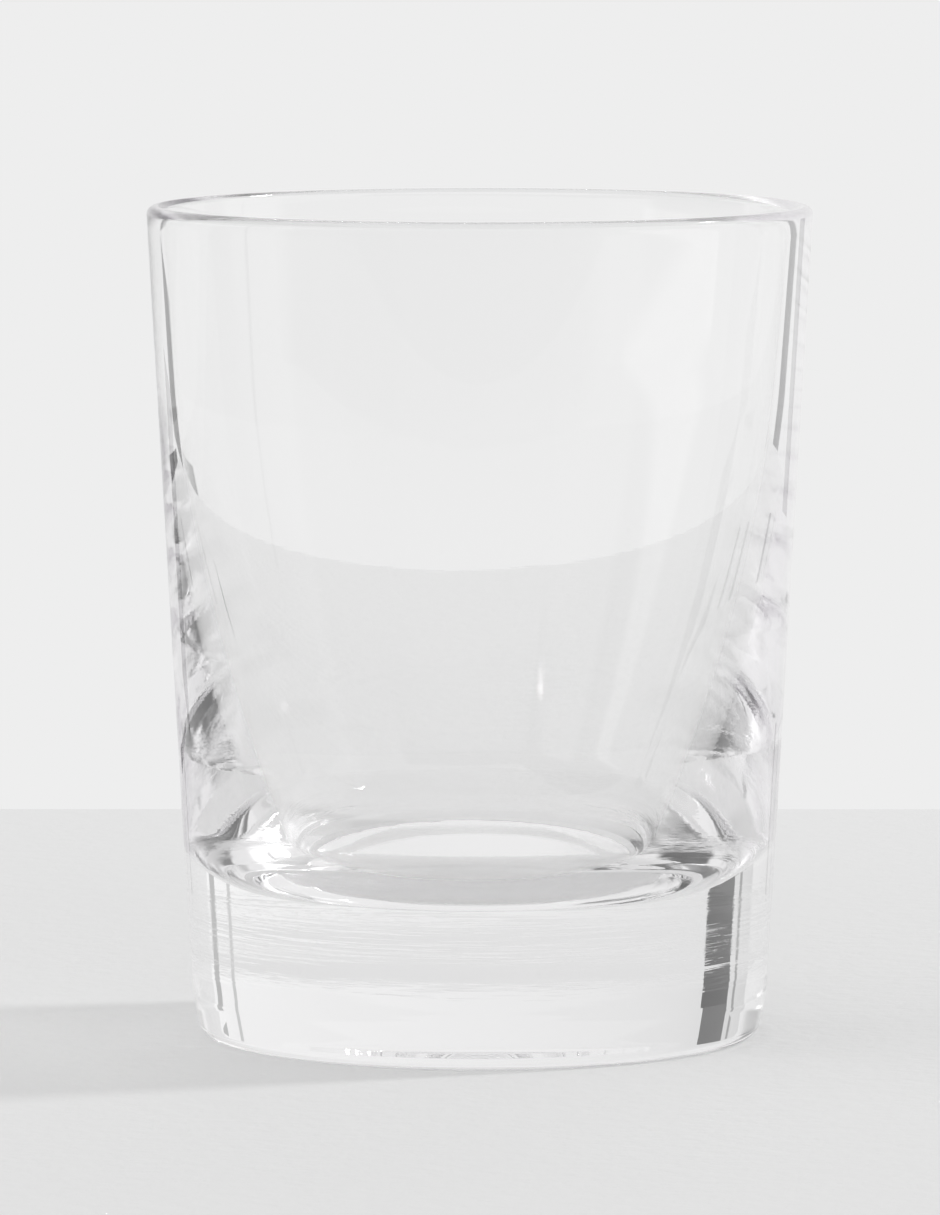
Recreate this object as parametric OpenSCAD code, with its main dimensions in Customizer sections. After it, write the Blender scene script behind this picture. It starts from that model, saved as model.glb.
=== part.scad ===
// Water glass: a clear tumbler with a thick base, turned about the Z axis and standing on Z = 0.

/* [Outside] */
// Height from the table to the top of the lip, mm
height = 105; // [85:1:130]
// Outer diameter of the straight wall carried up to the full height, mm
rim_diameter = 84; // [72:0.5:96]
// Outer diameter of the straight wall carried down to the table, mm
foot_diameter = 72.2; // [62:0.2:84]
// Height of the band at the foot that draws in toward the table, mm
foot_height = 6; // [4:0.5:12]
// How far that band draws in from the line of the wall, mm
foot_inset = 0.8; // [0.2:0.1:2]
// Radius of the rounded heel at the table, mm
heel_radius = 2; // [1:0.1:3.5]

/* [Lip] */
// Thickness of the rounded lip, mm
lip_thickness = 2.2; // [1.4:0.1:3.5]
// Height of the lip zone, mm
lip_height = 5; // [3:0.5:12]

/* [Inside] */
// Drop from the lip to the place where the inside starts to curve in, mm
belly_drop = 23; // [15:1:35]
// Wall thickness at that place, mm
belly_thickness = 2.8; // [2.2:0.1:4.5]
// Radius of the long curve of the inside wall, mm
belly_radius = 225; // [180:5:400]
// Radius of the round corner between inside wall and floor, mm
corner_radius = 11.5; // [6:0.5:15]
// Radius of the shallow dish of the inside floor, mm
dish_radius = 330; // [120:10:600]

/* [Base] */
// Thickness of the glass under the inside floor, measured on the axis, mm
sham = 18.3; // [12:0.1:24]
// Depth of the hollow in the underside, mm
kick_depth = 0.8; // [0.3:0.1:2]
// Width of the flat ring that stands on the table, mm
rest_width = 9; // [4:0.5:14]

/* [Hidden] */

// Facets of the drawn arcs and of the turned surfaces
arc_fn = 360;
// How far a cutting shape runs past the glass
over = 4;
// Extra radius of an arc that touches another line, so that the two cross cleanly
hair = 0.002;
glass_tint = [0.86, 0.93, 0.94, 0.4];

// Straight outer wall
wall_lean = atan((rim_diameter - foot_diameter) / 2 / height);
function outer(z) = foot_diameter / 2 + z * tan(wall_lean);

// Foot band, leaning in from the straight wall
band_lean = atan(tan(wall_lean) + foot_inset / foot_height);
function band(z) = outer(foot_height) - (foot_height - z) * tan(band_lean);

// Heel arc, tangent to the table and to the foot band
heel_c = [band(heel_radius) - heel_radius / cos(band_lean), heel_radius];

// Lip arc, tangent to the outer wall and to the straight part of the inner wall
lip_radius = lip_thickness / 2;
lip_c = [outer(height - lip_radius) - lip_radius / cos(wall_lean), height - lip_radius - hair];
lip_z = height - lip_height;

// Straight part of the inner wall, from the lip down to the start of the belly
belly_z = height - belly_drop;
belly_top = [outer(belly_z) - belly_thickness, belly_z];
to_lip = lip_c - belly_top;
inner_lean = atan2(to_lip[0], to_lip[1]) - asin(lip_radius / norm(to_lip));
function inner(z) = belly_top[0] + (z - belly_z) * tan(inner_lean);

// Belly arc and dish arc, and the corner arc that is tangent to both
belly_c = belly_top - belly_radius * [cos(inner_lean), -sin(inner_lean)];
dish_c = [0, sham + dish_radius];
belly_gap = belly_radius - corner_radius;
dish_gap = dish_radius - corner_radius;
span = norm(dish_c - belly_c);
along = (dish_c - belly_c) / span;
reach = (pow(span, 2) + pow(belly_gap, 2) - pow(dish_gap, 2)) / (2 * span);
aside = sqrt(pow(belly_gap, 2) - pow(reach, 2));
corner_c = belly_c + reach * along + aside * [along[1], -along[0]];
corner_top = belly_c + (corner_c - belly_c) * belly_radius / belly_gap;
corner_end = dish_c + (corner_c - dish_c) * dish_radius / dish_gap;
base_z = corner_top[1];

// Hollow of the underside, inside the ring that stands on the table
kick_r = heel_c[0] - rest_width;
kick_radius = (pow(kick_r, 2) + pow(kick_depth, 2)) / (2 * kick_depth);

// Round disc in the turning plane
module disc(c, r) {
    translate(c) circle(r = r, $fn = arc_fn);
}

// What is cut away outside a rounded corner, between two directions seen from the centre of its arc
module round_off(c, r, a, b) {
    reach_out = r + over;
    difference() {
        polygon([c, c + reach_out * a, c + 2 * reach_out * (a + b), c + reach_out * b]);
        disc(c, r + hair);
    }
}

// Upper part of the cavity: straight under the lip, then the belly curve
module cavity_wall() {
    top = height + over;
    polygon([[-over, belly_z], belly_top, [inner(top), top], [-over, top]]);
    disc(belly_c, belly_radius + hair);
}

// Lower end of the cavity: the dish and the round corner
module cavity_floor() {
    beyond = corner_end + over * (corner_end - corner_c) / corner_radius;
    intersection() {
        disc(dish_c, dish_radius);
        polygon([[-over, corner_c[1]], [-over, sham - over], beyond, corner_c]);
    }
    disc(corner_c, corner_radius + hair);
}

// Thick foot with the foot band, the heel, the resting ring and the round bottom of the cavity
module base() {
    shoulder = [outer(foot_height), foot_height];
    color(glass_tint) rotate_extrude($fn = arc_fn) difference() {
        polygon([[0, 0], [band(0), 0], shoulder, [outer(base_z), base_z], [0, base_z]]);
        round_off(heel_c, heel_radius, [0, -1], [cos(band_lean), -sin(band_lean)]);
        cavity_floor();
        disc([0, kick_depth - kick_radius], kick_radius);
    }
}

// Tapered wall, straight outside, with the belly curve and the straight upper part inside
module side_wall() {
    inside = corner_top[0] - over;
    color(glass_tint) rotate_extrude($fn = arc_fn) difference() {
        polygon([[inside, base_z], [outer(base_z), base_z], [outer(lip_z), lip_z], [inside, lip_z]]);
        cavity_wall();
    }
}

// Fire-polished lip, rounded over the top
module rim() {
    top = height + over / 2;
    color(glass_tint) rotate_extrude($fn = arc_fn) difference() {
        polygon([[inner(lip_z), lip_z], [outer(lip_z), lip_z], [outer(top), top], [inner(top), top]]);
        round_off(lip_c, lip_radius, [cos(wall_lean), -sin(wall_lean)], [0, 1]);
        round_off(lip_c, lip_radius, [0, 1], [-cos(inner_lean), sin(inner_lean)]);
    }
}

base();
side_wall();
rim();
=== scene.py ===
"""Water glass: a clear tumbler with a thick base, dressed over the CAD frame and set on a pale table."""

import math

import bmesh
import bpy
from bpy.props import FloatProperty, FloatVectorProperty, IntProperty, PointerProperty, StringProperty
from mathutils import Matrix, Vector, noise


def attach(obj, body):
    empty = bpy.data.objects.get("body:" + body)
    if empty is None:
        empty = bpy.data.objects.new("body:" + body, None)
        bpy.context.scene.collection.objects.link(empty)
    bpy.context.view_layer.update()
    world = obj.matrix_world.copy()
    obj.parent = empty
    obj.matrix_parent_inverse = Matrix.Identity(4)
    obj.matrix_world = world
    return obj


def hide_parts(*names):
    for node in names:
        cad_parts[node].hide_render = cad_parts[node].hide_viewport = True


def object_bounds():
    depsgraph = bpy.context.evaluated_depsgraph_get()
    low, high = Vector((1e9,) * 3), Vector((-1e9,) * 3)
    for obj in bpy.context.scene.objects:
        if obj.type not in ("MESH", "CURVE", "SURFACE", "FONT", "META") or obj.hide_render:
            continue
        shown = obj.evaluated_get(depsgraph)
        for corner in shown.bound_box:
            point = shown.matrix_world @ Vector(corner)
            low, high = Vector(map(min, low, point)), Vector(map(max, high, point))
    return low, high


bl_info = {
    "name": "Water Glass",
    "version": (1, 0, 0),
    "blender": (4, 5, 0),
    "location": "View3D > Sidebar > Glass",
    "description": "Turns a thick-based tumbler and sets it on a lit table",
    "category": "Add Mesh",
}

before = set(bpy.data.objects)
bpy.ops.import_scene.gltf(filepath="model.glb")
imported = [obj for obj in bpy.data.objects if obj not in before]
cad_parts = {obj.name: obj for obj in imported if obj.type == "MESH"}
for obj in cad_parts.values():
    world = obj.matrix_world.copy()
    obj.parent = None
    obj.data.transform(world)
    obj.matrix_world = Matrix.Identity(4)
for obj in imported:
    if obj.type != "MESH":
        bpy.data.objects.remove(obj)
CAD_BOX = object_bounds()
MM = 0.001
UP = Vector((0, 0, 1))

# The photograph in pixels: its frame, its focal length and the column that the axis of the glass stands on
FRAME_W = 940
FRAME_H = 1215
FOCAL_PX = 9672.8
AXIS_PX = 479.72
# The sensor that Blender spreads over the frame's longer side
SENSOR_MM = 36.0

# Steps along each stretch of the half profile, fine where the glass bends light hardest
STEPS = {
    "kick": 24, "rest": 4, "heel": 16, "band": 8, "wall": 150, "lip_half": 10,
    "upper": 12, "belly": 48, "corner": 32, "dish": 12,
}
# Points of the turned surface that are closer than this are one point
WELD = 0.002 * MM

# Heights in millimetres between which the chill ripples of the outside grow from none to full
RIPPLE_START = (7.6, 8.8)
WALL_FADE = (80, 60)
BASE_FADE = (20, 17)
# Middle and spread in millimetres of the two bunches of stronger ripples
BUNCHES = ((10.2, 1.0), (15.3, 1.3))
# Strength of the ripples on the wall, on the base and in a bunch
WALL_RIPPLE = 0.06
BASE_RIPPLE = 0.5
BUNCH_RIPPLE = 1.2

# Slow waves of the inside in millimetres: length round and up the wall, and where they fade in
WAVE_ROUND = 16
WAVE_UP = 5
WAVE_FADE = (65, 45)
# Height in millimetres of the point that the cavity leans about, and of the start of the rounded lip zone
LEAN_PIVOT = 100
LIP_START = 98
# How squarely the lip faces inward where it stays with the outside and where it goes fully with the cavity
LIP_FOLLOWS = (0.0, 0.9)

# Painted reflections: studio cards that glow at a set level, light nothing, cast no shadow and are seen only
# in the glass, standing in for the dark and bright surroundings it bends into view. Each has a name, two
# ends on the table, bottom and top, level of light and width of the soft edge, with all lengths in
# millimetres
PAINTED_REFLECTION_CARDS = (
    ("left_panel", (-590, -310), (-590, 250), 82, 126, 1.60, 12),
    ("left_room", (-600, -240), (-600, 390), 105, 940, 0.12, 80),
    ("left_high", (-620, -900), (-620, -120), 290, 940, 0.12, 80),
    ("front_low", (-640, -500), (3500, -500), -100, 184, 0.55, 60),
    ("front_high", (-1500, -1400), (1500, -1400), 500, 1600, 0.15, 200),
    ("right_panel", (600, -150), (600, 270), 52, 650, 1.25, 80),
    ("left_flag", (-194, 210), (-216, 305), 0, 54, 0.18, 0),
    # Painted shade: a low dark card standing in for the darker table that the base shows near the left flag
    ("left_flag_foot", (-68.5, 101.7), (-80, 143.2), 0, 11, 0.13, 0),
    ("left_line", (-87.0, 110.6), (-88.6, 108.6), 0, 24, 0.35, 0),
    ("right_line", (79, 116.7), (81, 114.7), 0, 24, 0.62, 0),
    ("right_soft_line", (90.7, 105.7), (94.2, 100.5), 0, 24, 0.48, 0),
    ("right_flag", (66, 40), (74, 39), 60, 102, 0.30, 0),
    ("left_gap", (-216, 305), (-140, 340), -90, -8, 0.01, 0),
)
# Squares along each side of a card with a soft edge
SOFT_STEPS = 24
# Light runs round inside the thick wall many times before it leaves
BOUNCES = 160


def linear(hex_colour):
    """An sRGB hex colour as linear red, green, blue and alpha."""
    parts = [int(hex_colour[i:i + 2], 16) / 255 for i in (1, 3, 5)]
    return tuple(c / 12.92 if c <= 0.04045 else ((c + 0.055) / 1.055) ** 2.4 for c in parts) + (1.0,)


def smooth(low, high, value):
    """Runs softly from 0 at one value to 1 at the other."""
    part = min(1.0, max(0.0, (value - low) / (high - low)))
    return part * part * (3 - 2 * part)


def node(tree, kind, links=(), **settings):
    """Adds one node, sets its properties and input values, and links (input, other node, output) triples."""
    made = tree.nodes.new(kind)
    for name, value in settings.items():
        if name in made.inputs:
            made.inputs[name].default_value = value
        else:
            setattr(made, name, value)
    for socket, other, output in links:
        tree.links.new(other.outputs[output], made.inputs[socket])
    return made


def mesh_object(name, bm):
    """Turns a bmesh into a smooth object at the origin."""
    for face in bm.faces:
        face.smooth = True
    mesh = bpy.data.meshes.new(name)
    bm.to_mesh(mesh)
    bm.free()
    made = bpy.data.objects.new(name, mesh)
    bpy.context.scene.collection.objects.link(made)
    return made


class GlassSizes(bpy.types.PropertyGroup):
    """Sizes of the tumbler, the same as in the CAD source, and the unevenness of the cooled glass."""

    height: FloatProperty(
        name="Height", description="Table to the top of the lip", default=CAD_BOX[1][2], unit="LENGTH")
    rim_diameter: FloatProperty(
        name="Rim", description="Outer diameter of the wall carried up to the full height",
        default=84 * MM, unit="LENGTH")
    foot_diameter: FloatProperty(
        name="Foot", description="Outer diameter of the wall carried down to the table",
        default=72.2 * MM, unit="LENGTH")
    foot_height: FloatProperty(
        name="Foot band", description="Height of the band that draws in toward the table",
        default=6 * MM, unit="LENGTH")
    foot_inset: FloatProperty(
        name="Foot inset", description="How far the band draws in from the line of the wall",
        default=0.8 * MM, unit="LENGTH")
    heel_radius: FloatProperty(
        name="Heel", description="Rounding at the table", default=2.0 * MM, unit="LENGTH")
    lip_thickness: FloatProperty(
        name="Lip", description="Thickness of the rounded lip", default=2.2 * MM, unit="LENGTH")
    belly_drop: FloatProperty(
        name="Belly drop", description="Lip to the start of the inside curve",
        default=23 * MM, unit="LENGTH")
    belly_thickness: FloatProperty(
        name="Belly wall", description="Wall thickness where the curve starts",
        default=2.8 * MM, unit="LENGTH")
    belly_radius: FloatProperty(
        name="Belly radius", description="Long curve of the inside wall",
        default=225 * MM, unit="LENGTH")
    corner_radius: FloatProperty(
        name="Corner", description="Round corner between inside wall and floor",
        default=11.5 * MM, unit="LENGTH")
    dish_radius: FloatProperty(
        name="Dish", description="Shallow dish of the inside floor", default=330 * MM, unit="LENGTH")
    sham: FloatProperty(
        name="Sham", description="Glass under the inside floor", default=18.3 * MM, unit="LENGTH")
    kick_depth: FloatProperty(
        name="Kick", description="Hollow of the underside", default=0.8 * MM, unit="LENGTH")
    rest_width: FloatProperty(
        name="Resting ring", description="Width of the ring on the table", default=9 * MM, unit="LENGTH")
    segments: IntProperty(
        name="Segments", description="Steps of the turned surface", default=256, min=32)
    cavity_shift: FloatProperty(
        name="Cavity shift", description="How far the inside sits off the axis",
        default=-0.4 * MM, unit="LENGTH")
    cavity_lean: FloatProperty(
        name="Cavity lean", description="How far the inside leans to one side",
        default=math.radians(0.3), subtype="ANGLE")
    ripple: FloatProperty(
        name="Ripple", description="Height of the chill ripples low on the outside",
        default=0.03 * MM, unit="LENGTH")
    wave: FloatProperty(
        name="Wave", description="Height of the slow waves in the thick wall",
        default=0.006 * MM, unit="LENGTH")


class StageLook(bpy.types.PropertyGroup):
    """Colours, levels and places of the table, the backdrop, the lights and the camera."""

    floor: StringProperty(
        name="Table", description="Pale table as an sRGB hex colour", default="#E6E6E6")
    wall: StringProperty(
        name="Backdrop", description="Pale backdrop as an sRGB hex colour", default="#EEEEEE")
    fill: FloatProperty(
        name="Fill", description="Level of the even light from all round", default=0.815)
    key_power: FloatProperty(
        name="Key", description="Power of the key light", default=27.0, unit="POWER")
    key_angle: FloatVectorProperty(
        name="Key direction", description="Azimuth from the back and height of the key light",
        default=(math.radians(74), math.radians(40)), size=2, subtype="EULER", unit="ROTATION")
    key_size: FloatProperty(
        name="Key size", description="Side of the key light", default=0.36, unit="LENGTH")
    key_distance: FloatProperty(
        name="Key distance", description="Glass to the key light", default=3.5, unit="LENGTH")
    key_aim: FloatProperty(
        name="Key aim", description="Height on the glass that the key light points at",
        default=40 * MM, unit="LENGTH")
    back_power: FloatProperty(
        name="Back", description="Power of the back light", default=0.5, unit="POWER")
    back_size: FloatProperty(
        name="Back size", description="Side of the back light", default=0.6, unit="LENGTH")
    back_place: FloatVectorProperty(
        name="Back place", description="Where the back light hangs",
        default=(0.1, 0.9, 0.8), size=3, subtype="TRANSLATION", unit="LENGTH")
    table_depth: FloatProperty(
        name="Table depth", description="Axis of the glass to the back edge of the table",
        default=246 * MM, unit="LENGTH")
    table_reach: FloatProperty(
        name="Table reach", description="Axis of the glass to the front and side edges of the table",
        default=1.6, unit="LENGTH")
    table_gap: FloatProperty(
        name="Table gap", description="Hair of air between the table and the glass",
        default=0.03 * MM, unit="LENGTH")
    backdrop_depth: FloatProperty(
        name="Backdrop depth", description="Axis of the glass to the backdrop", default=1.0, unit="LENGTH")
    backdrop_width: FloatProperty(
        name="Backdrop width", description="Side to side of the backdrop", default=3.2, unit="LENGTH")
    backdrop_low: FloatProperty(
        name="Backdrop bottom", description="Height of its lower edge", default=-60 * MM, unit="LENGTH")
    backdrop_high: FloatProperty(
        name="Backdrop top", description="Height of its upper edge", default=330 * MM, unit="LENGTH")
    # Painted light: how much the backdrop card's glow is raised at its right end and lowered at its left, as
    # if lit from the key's side
    falloff: FloatProperty(
        name="Falloff", description="How much brighter and dimmer the two ends of the backdrop are",
        default=0.2)
    camera_place: FloatVectorProperty(
        name="Camera", description="Where the camera stands",
        default=(0, -1.2167, 0.16927), size=3, subtype="TRANSLATION", unit="LENGTH")
    camera_pitch: FloatProperty(
        name="Camera pitch", description="How far the camera looks down",
        default=math.radians(5.408), subtype="ANGLE")


class Pen:
    """Draws a half profile in the XZ plane, one stretch after the other."""

    def __init__(self, bm, start):
        self.bm = bm
        self.end = bm.verts.new(start)

    def line_to(self, point, steps):
        """Runs straight to a point."""
        step = (Vector(point) - self.end.co) / steps
        for _ in range(steps):
            grown = bmesh.ops.extrude_vert_indiv(self.bm, verts=[self.end])
            self.end = grown["verts"][0]
            bmesh.ops.translate(self.bm, verts=[self.end], vec=step)

    def arc_about(self, centre, direction, steps):
        """Turns about a centre until it lies in the given direction from it."""
        start = self.end.co - centre
        turn = math.atan2(start.z, start.x) - math.atan2(direction.z, direction.x)
        turn = (turn + math.pi) % (2 * math.pi) - math.pi
        spun = bmesh.ops.spin(
            self.bm, geom=[self.end], cent=centre, axis=(0, 1, 0), angle=turn, steps=steps, use_merge=False)
        self.end = next(g for g in spun["geom_last"] if isinstance(g, bmesh.types.BMVert))


def half_profile(bm, s):
    """Draws the glass from the axis of the underside, up the outside, over the lip and down the inside."""
    # Straight outer wall
    lean = math.atan((s.rim_diameter - s.foot_diameter) / 2 / s.height)
    outward = Vector((math.cos(lean), 0, -math.sin(lean)))

    def outer(z):
        return s.foot_diameter / 2 + z * math.tan(lean)

    # Foot band and heel, and the hollow inside the resting ring
    band_top = Vector((outer(s.foot_height), 0, s.foot_height))
    band_lean = math.atan(math.tan(lean) + s.foot_inset / s.foot_height)
    band_out = Vector((math.cos(band_lean), 0, -math.sin(band_lean)))
    heel_x = band_top.x - (s.foot_height - s.heel_radius) * math.tan(band_lean)
    heel = Vector((heel_x - s.heel_radius / math.cos(band_lean), 0, s.heel_radius))
    kick_r = heel.x - s.rest_width
    kick = Vector((0, 0, s.kick_depth - (kick_r ** 2 + s.kick_depth ** 2) / (2 * s.kick_depth)))

    # Lip, and the straight part of the inner wall that touches it
    lip_r = s.lip_thickness / 2
    lip = Vector((outer(s.height - lip_r) - lip_r / math.cos(lean), 0, s.height - lip_r))
    belly_z = s.height - s.belly_drop
    belly_top = Vector((outer(belly_z) - s.belly_thickness, 0, belly_z))
    to_lip = lip - belly_top
    inner_lean = math.atan2(to_lip.x, to_lip.z) - math.asin(lip_r / to_lip.length)
    inward = Vector((-math.cos(inner_lean), 0, math.sin(inner_lean)))

    # Belly and dish, and the corner that touches both
    belly = belly_top + s.belly_radius * inward
    dish = Vector((0, 0, s.sham + s.dish_radius))
    belly_gap = s.belly_radius - s.corner_radius
    dish_gap = s.dish_radius - s.corner_radius
    span = (dish - belly).length
    along = (dish - belly) / span
    reach = (span ** 2 + belly_gap ** 2 - dish_gap ** 2) / (2 * span)
    aside = math.sqrt(belly_gap ** 2 - reach ** 2)
    corner = belly + reach * along + aside * Vector((along.z, 0, -along.x))

    pen = Pen(bm, (0, 0, s.kick_depth))
    pen.arc_about(kick, Vector((kick_r, 0, -kick.z)), STEPS["kick"])
    pen.line_to((heel.x, 0, 0), STEPS["rest"])
    pen.arc_about(heel, band_out, STEPS["heel"])
    pen.line_to(band_top, STEPS["band"])
    pen.line_to(lip + lip_r * outward, STEPS["wall"])
    pen.arc_about(lip, UP, STEPS["lip_half"])
    pen.arc_about(lip, inward, STEPS["lip_half"])
    pen.line_to(belly_top, STEPS["upper"])
    pen.arc_about(belly, (corner - belly).normalized(), STEPS["belly"])
    pen.arc_about(corner, (corner - dish).normalized(), STEPS["corner"])
    pen.arc_about(dish, -UP, STEPS["dish"])


def uneven(bm, s):
    """Sets the cavity a little off the axis, waves its wall and notes where the outside is rippled."""
    ripple = bm.verts.layers.float.new("ripple")
    pivot = Matrix.Translation((0, 0, LEAN_PIVOT * MM))
    lean = Matrix.Translation((s.cavity_shift, 0, 0)) @ pivot @ Matrix.Rotation(s.cavity_lean, 4, "Y")
    lean = lean @ pivot.inverted()
    bm.normal_update()
    moved = []
    for v in bm.verts:
        if v.co.z <= s.kick_depth:
            continue
        z = v.co.z / MM
        facing = v.normal.to_2d().dot(v.co.to_2d())
        if facing > 0:
            bunch = sum(math.exp(-((z - middle) / spread) ** 2) for middle, spread in BUNCHES)
            even = WALL_RIPPLE * smooth(*WALL_FADE, z) + BASE_RIPPLE * smooth(*BASE_FADE, z)
            v[ripple] = smooth(*RIPPLE_START, z) * (even + BUNCH_RIPPLE * bunch)
        else:
            swell = noise.noise(Vector((v.co.x / WAVE_ROUND, v.co.y / WAVE_ROUND, v.co.z / WAVE_UP)) / MM)
            waved = v.co + v.normal * s.wave * smooth(*WAVE_FADE, z) * swell
            inside = -facing / v.co.to_2d().length if z > LIP_START else 1.0
            moved.append((v, waved.lerp(lean @ waved, smooth(*LIP_FOLLOWS, inside))))
    for v, place in moved:
        v.co = place


def clear_glass(s):
    """Soda-lime glass, fire-polished: clear and mirror smooth, with fine level chill ripples low outside."""
    ripple_length = 12 * MM
    ripple_pitch = 0.45 * MM
    made = bpy.data.materials.new("clear_soda_lime_glass")
    made.use_nodes = True
    tree = made.node_tree
    shader = tree.nodes["Principled BSDF"]
    shader.inputs["Base Color"].default_value = linear("#FFFFFF")
    shader.inputs["Roughness"].default_value = 0.0
    shader.inputs["IOR"].default_value = 1.52
    shader.inputs["Transmission Weight"].default_value = 1.0
    place = node(tree, "ShaderNodeTexCoord")
    scale = (1 / ripple_length, 1 / ripple_length, 1 / ripple_pitch)
    stretch = node(tree, "ShaderNodeMapping", [("Vector", place, "Object")], Scale=scale)
    grain = node(tree, "ShaderNodeTexNoise", [("Vector", stretch, "Vector")], Scale=1.0, Detail=2.0)
    where = node(tree, "ShaderNodeAttribute", attribute_name="ripple")
    height = node(tree, "ShaderNodeMath", [(0, grain, "Fac"), (1, where, "Fac")], operation="MULTIPLY")
    bump = node(tree, "ShaderNodeBump", [("Height", height, "Value")], Distance=s.ripple)
    tree.links.new(bump.outputs["Normal"], shader.inputs["Normal"])
    # A very faint tint that deepens where the glass is thick
    tint = node(tree, "ShaderNodeVolumeAbsorption", Color=linear("#F6F4F7"), Density=2.0)
    tree.links.new(tint.outputs["Volume"], tree.nodes["Material Output"].inputs["Volume"])
    return made


class WATERGLASS_OT_body(bpy.types.Operator):
    """Turn the glass from one closed half profile"""

    bl_idname = "waterglass.body"
    bl_label = "Glass body"

    def execute(self, context):
        s = context.scene.water_glass
        bm = bmesh.new()
        half_profile(bm, s)
        bmesh.ops.spin(
            bm, geom=bm.verts[:] + bm.edges[:], cent=(0, 0, 0), axis=UP,
            angle=2 * math.pi, steps=s.segments, use_merge=True)
        bmesh.ops.remove_doubles(bm, verts=bm.verts[:], dist=WELD)
        bmesh.ops.recalc_face_normals(bm, faces=bm.faces[:])
        uneven(bm, s)
        glass = mesh_object("glass_body", bm)
        glass.data.materials.append(clear_glass(s))
        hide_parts("base", "side_wall", "rim")
        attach(glass, "root")
        return {"FINISHED"}


def painted_table(look):
    """Matt painted board: an even pale ground with a very fine tooth."""
    tooth_size = 3.5 * MM
    tooth_depth = 0.25 * MM
    made = bpy.data.materials.new("matt_painted_board")
    made.use_nodes = True
    tree = made.node_tree
    shader = tree.nodes["Principled BSDF"]
    shader.inputs["Base Color"].default_value = linear(look.floor)
    shader.inputs["Roughness"].default_value = 0.9
    shader.inputs["Specular IOR Level"].default_value = 0.0
    place = node(tree, "ShaderNodeTexCoord")
    tooth = node(tree, "ShaderNodeTexNoise", [("Vector", place, "Object")], Scale=1 / tooth_size, Detail=4.0)
    bump = node(tree, "ShaderNodeBump", [("Height", tooth, "Fac")], Distance=tooth_depth)
    tree.links.new(bump.outputs["Normal"], shader.inputs["Normal"])
    return made


def glowing_card(name, colour):
    """Card that shows only its own light, with no sheen; gives its material, node tree and shader."""
    made = bpy.data.materials.new(name)
    made.use_nodes = True
    shader = made.node_tree.nodes["Principled BSDF"]
    shader.inputs["Base Color"].default_value = linear("#000000")
    shader.inputs["Specular IOR Level"].default_value = 0.0
    shader.inputs["Emission Color"].default_value = linear(colour)
    return made, made.node_tree, shader


def painted_reflection_card(name, level, soft):
    """Studio card that glows at an even level, a painted reflection that only the glass shows: as a dark
    line, a dark patch or a bright panel.
    """
    made, tree, shader = glowing_card(name, "#FFFFFF")
    shader.inputs["Emission Strength"].default_value = level
    if soft:
        edge = node(tree, "ShaderNodeAttribute", attribute_name="edge")
        tree.links.new(edge.outputs["Fac"], shader.inputs["Alpha"])
    return made


def backdrop_with_painted_light(look):
    """Backdrop card that glows with painted light and that the thick base shows: its glow is made brighter
    on the side of the lamp.
    """
    made, tree, shader = glowing_card("backdrop_painted_light_card", look.wall)
    side = look.backdrop_width / 2
    ends = {"From Min": -side, "From Max": side, "To Min": 1 - look.falloff, "To Max": 1 + look.falloff}
    place = node(tree, "ShaderNodeTexCoord")
    across = node(tree, "ShaderNodeSeparateXYZ", [("Vector", place, "Object")])
    # Painted light: the glow rises toward the right, where the key lamp stands, in place of the lamp's own
    # falloff
    light = node(tree, "ShaderNodeMapRange", [("Value", across, "X")], **ends)
    tree.links.new(light.outputs["Result"], shader.inputs["Emission Strength"])
    return made


def stand_card(name, start, stop, low, high, soft, material):
    """Stands a card between two places on the table; only the glass shows it."""
    run = stop - start
    size = Vector((run.length, 1, high - low))
    middle = ((start + stop) / 2).to_3d() + (low + high) / 2 * UP
    upright = Matrix.Rotation(math.pi / 2, 4, "X")
    steps = SOFT_STEPS if soft else 1
    bm = bmesh.new()
    bmesh.ops.create_grid(bm, x_segments=steps, y_segments=steps, size=0.5, matrix=upright)
    bmesh.ops.scale(bm, verts=bm.verts[:], vec=size)
    if soft:
        edge = bm.verts.layers.float.new("edge")
        for v in bm.verts:
            from_end = size.x / 2 - abs(v.co.x)
            from_top = size.z / 2 - abs(v.co.z)
            v[edge] = smooth(0, soft, from_end) * smooth(0, soft, from_top)
    turn = Matrix.Rotation(math.atan2(run.y, run.x), 3, "Z")
    bmesh.ops.rotate(bm, verts=bm.verts[:], matrix=turn)
    bmesh.ops.translate(bm, verts=bm.verts[:], vec=middle)
    card = mesh_object(name, bm)
    card.data.materials.append(material)
    # Painted reflection: the card glows for the glass alone, lighting nothing and casting no shadow
    card.visible_camera = False
    card.visible_diffuse = False
    card.visible_shadow = False


def lay_table(look):
    """Lays the board that the glass stands on, from its back edge to behind the camera."""
    depth = look.table_depth + look.table_reach
    bm = bmesh.new()
    bmesh.ops.create_grid(bm, x_segments=1, y_segments=1, size=1.0)
    bmesh.ops.scale(bm, verts=bm.verts[:], vec=(look.table_reach, depth / 2, 1))
    bmesh.ops.translate(bm, verts=bm.verts[:], vec=(0, look.table_depth - depth / 2, -look.table_gap))
    table = mesh_object("table", bm)
    table.data.materials.append(painted_table(look))


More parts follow.
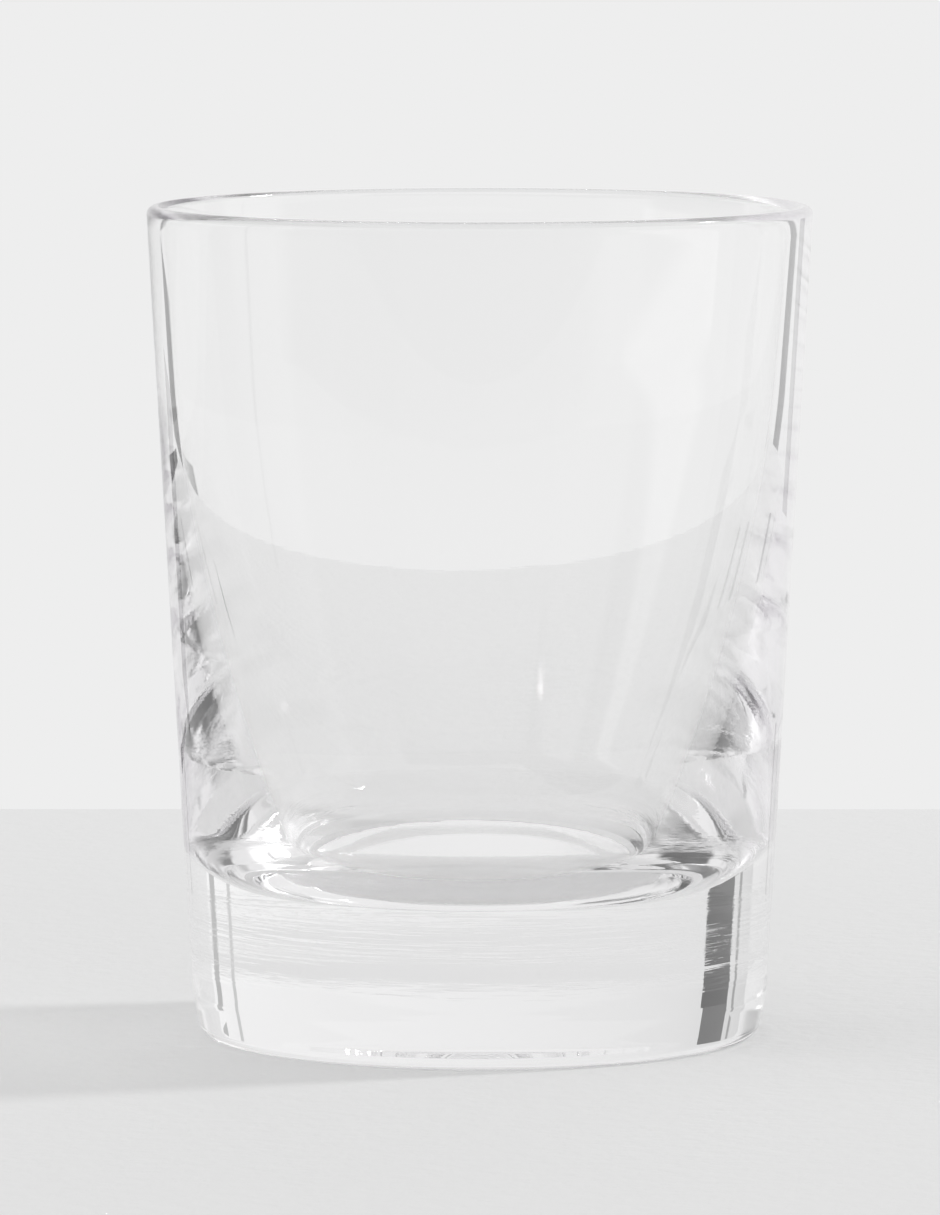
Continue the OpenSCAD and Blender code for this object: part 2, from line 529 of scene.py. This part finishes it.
def studio_world(look):
    """Even fill light from all round, which the camera and the glass see as the colour of the backdrop."""
    world = bpy.data.worlds.new("studio")
    world.use_nodes = True
    tree = world.node_tree
    tree.nodes.clear()
    path = node(tree, "ShaderNodeLightPath")
    seen = node(
        tree, "ShaderNodeMath", [(0, path, "Is Camera Ray"), (1, path, "Is Glossy Ray")],
        operation="MAXIMUM")
    seen = node(
        tree, "ShaderNodeMath", [(0, seen, "Value"), (1, path, "Is Transmission Ray")],
        operation="MAXIMUM")
    wall = node(tree, "ShaderNodeBackground", Color=linear(look.wall))
    fill = node(tree, "ShaderNodeBackground", Color=linear("#FFFFFF"), Strength=look.fill)
    mix = node(tree, "ShaderNodeMixShader", [(0, seen, "Value"), (1, fill, 0), (2, wall, 0)])
    node(tree, "ShaderNodeOutputWorld", [("Surface", mix, 0)])
    return world


def hang_lamp(name, power, size, aim, offset):
    """Hangs a square lamp at an offset from the place it points at."""
    light = bpy.data.lights.new(name, "AREA")
    light.energy = power
    light.size = size
    lamp = bpy.data.objects.new(name, light)
    lamp.location = aim + offset
    lamp.rotation_euler = offset.to_track_quat("Z", "Y").to_euler()
    bpy.context.scene.collection.objects.link(lamp)
    return lamp


def photo_camera(look):
    """Sets up the camera of the photograph, turned so that the glass stands a little right of the middle."""
    camera = bpy.data.cameras.new("photo_view")
    camera.sensor_width = SENSOR_MM
    camera.lens = FOCAL_PX / FRAME_H * SENSOR_MM
    view = bpy.data.objects.new("photo_view", camera)
    view.location = look.camera_place
    turn = math.atan((AXIS_PX - FRAME_W / 2) / FOCAL_PX)
    view.rotation_euler = (math.pi / 2 - look.camera_pitch, 0, turn)
    bpy.context.scene.collection.objects.link(view)
    return view


class WATERGLASS_OT_stage(bpy.types.Operator):
    """Lay the table, light it and set the camera"""

    bl_idname = "waterglass.stage"
    bl_label = "Table, light and camera"

    def execute(self, context):
        scene = context.scene
        look = scene.water_glass_stage
        scene.view_settings.view_transform = "Standard"
        scene.cycles.max_bounces = BOUNCES
        scene.cycles.transmission_bounces = BOUNCES
        scene.cycles.glossy_bounces = BOUNCES
        # The glass keeps its polish for the light that reaches the table through it
        scene.cycles.blur_glossy = 0.0
        scene.cycles.sample_clamp_indirect = 0.0

        lay_table(look)
        # Painted reflections: dark and bright glowing cards that only the glass shows
        for name, start, stop, low, high, level, soft in PAINTED_REFLECTION_CARDS:
            ends = Vector(start) * MM, Vector(stop) * MM
            stand_card(name, *ends, low * MM, high * MM, soft * MM, painted_reflection_card(name, level, soft))
        # Painted light: a glowing backdrop seen only in the glass, brighter toward the key's side
        left = Vector((-look.backdrop_width / 2, look.backdrop_depth))
        right = Vector((look.backdrop_width / 2, look.backdrop_depth))
        stand_card("backdrop", left, right, look.backdrop_low, look.backdrop_high, 0, backdrop_with_painted_light(look))

        scene.world = studio_world(look)
        azimuth, rise = look.key_angle
        level_way = Vector((math.sin(azimuth), math.cos(azimuth), 0))
        toward = math.cos(rise) * level_way + math.sin(rise) * UP
        hang_lamp("key", look.key_power, look.key_size, look.key_aim * UP, look.key_distance * toward)
        back = hang_lamp("back", look.back_power, look.back_size, Vector(), Vector(look.back_place))
        back.visible_glossy = False
        back.visible_transmission = False
        scene.camera = photo_camera(look)
        return {"FINISHED"}


class WATERGLASS_PT_panel(bpy.types.Panel):
    """Sizes and buttons of the glass"""

    bl_idname = "WATERGLASS_PT_panel"
    bl_label = "Water glass"
    bl_space_type = "VIEW_3D"
    bl_region_type = "UI"
    bl_category = "Glass"

    def draw(self, context):
        column = self.layout.column()
        for owner in (context.scene.water_glass, context.scene.water_glass_stage):
            for name in owner.__annotations__:
                column.prop(owner, name)
        column.operator(WATERGLASS_OT_body.bl_idname)
        column.operator(WATERGLASS_OT_stage.bl_idname)


CLASSES = (GlassSizes, StageLook, WATERGLASS_OT_body, WATERGLASS_OT_stage, WATERGLASS_PT_panel)


def register():
    """Registers the classes and hangs the settings on the scene."""
    for cls in CLASSES:
        bpy.utils.register_class(cls)
    bpy.types.Scene.water_glass = PointerProperty(type=GlassSizes)
    bpy.types.Scene.water_glass_stage = PointerProperty(type=StageLook)


def unregister():
    """Takes the settings and the classes away again."""
    del bpy.types.Scene.water_glass_stage
    del bpy.types.Scene.water_glass
    for cls in reversed(CLASSES):
        bpy.utils.unregister_class(cls)


def main():
    register()
    bpy.ops.waterglass.body()
    bpy.ops.waterglass.stage()


if __name__ == "__main__":
    main()
